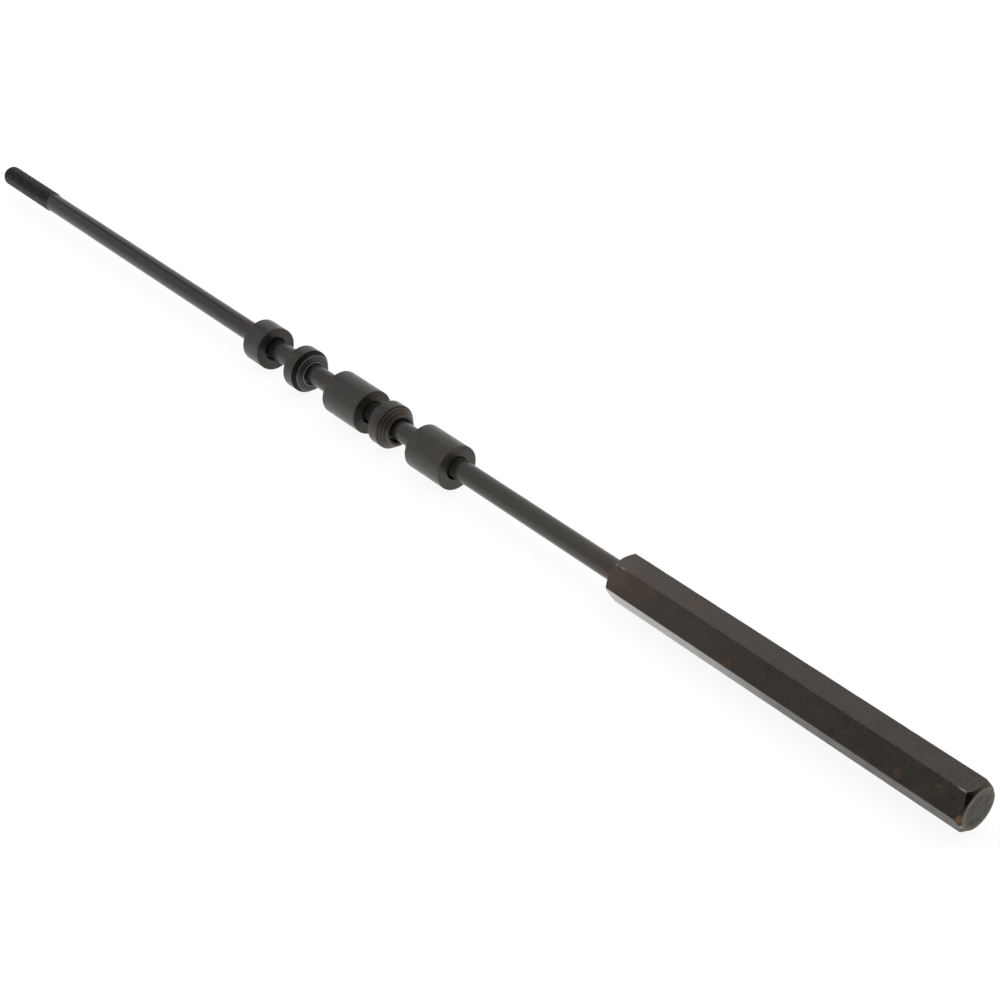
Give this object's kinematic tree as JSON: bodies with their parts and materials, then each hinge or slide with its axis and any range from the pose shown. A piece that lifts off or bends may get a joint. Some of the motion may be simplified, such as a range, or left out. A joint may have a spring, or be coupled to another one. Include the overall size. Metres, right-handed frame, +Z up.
{
  "type": "long punch with guide sleeves",
  "caption": "Long hexagon-handled punch: a slim rod with a threaded far end and loose plain and coned sleeves that slide on the rod.",
  "frame": {"origin": "middle of the underside of the bounding box, under the tool as it lies", "axes": "+X along the tool towards the struck end, thread towards -X; +Z up, square to a flat of the hexagon"},
  "size_m": [0.5166, 0.0162, 0.016],
  "materials": {
    "handle_steel": "blackened hexagon bar, mottled brown with rust specks, bright where its edges are worn",
    "rod_steel": "dark satin rod with light brown staining; the thread is darker",
    "sleeve_steel": "dark grey turned steel, satin",
    "collar_steel": "dark grey turned steel with rings of tool marks and rust on the coned face"
  },
  "bodies": {
    "tool": {"hex_handle": "handle_steel", "threaded_rod": "rod_steel"},
    "handle_sleeve": {"handle_sleeve": "sleeve_steel"},
    "thick_stepped_collar": {"thick_stepped_collar": "collar_steel"},
    "middle_sleeve": {"middle_sleeve": "sleeve_steel"},
    "thin_stepped_collar": {"thin_stepped_collar": "collar_steel"},
    "tip_sleeve": {"tip_sleeve": "sleeve_steel"}
  },
  "joints": [
    {"name": "handle_sleeve_slide", "type": "slide", "parent": "tool", "child": "handle_sleeve", "axis": [1, 0, 0], "range_m": [-0.094, 0.0791]},
    {"name": "thick_collar_slide", "type": "slide", "parent": "handle_sleeve", "child": "thick_stepped_collar", "axis": [1, 0, 0], "range_m": [-0.014, 0.0125]},
    {"name": "middle_sleeve_slide", "type": "slide", "parent": "thick_stepped_collar", "child": "middle_sleeve", "axis": [1, 0, 0], "range_m": [-0.014, 0.0078]},
    {"name": "thin_collar_slide", "type": "slide", "parent": "middle_sleeve", "child": "thin_stepped_collar", "axis": [1, 0, 0], "range_m": [-0.014, 0.0159]},
    {"name": "tip_sleeve_slide", "type": "slide", "parent": "thin_stepped_collar", "child": "tip_sleeve", "axis": [1, 0, 0], "range_m": [-0.014, 0.0159]}
  ]
}
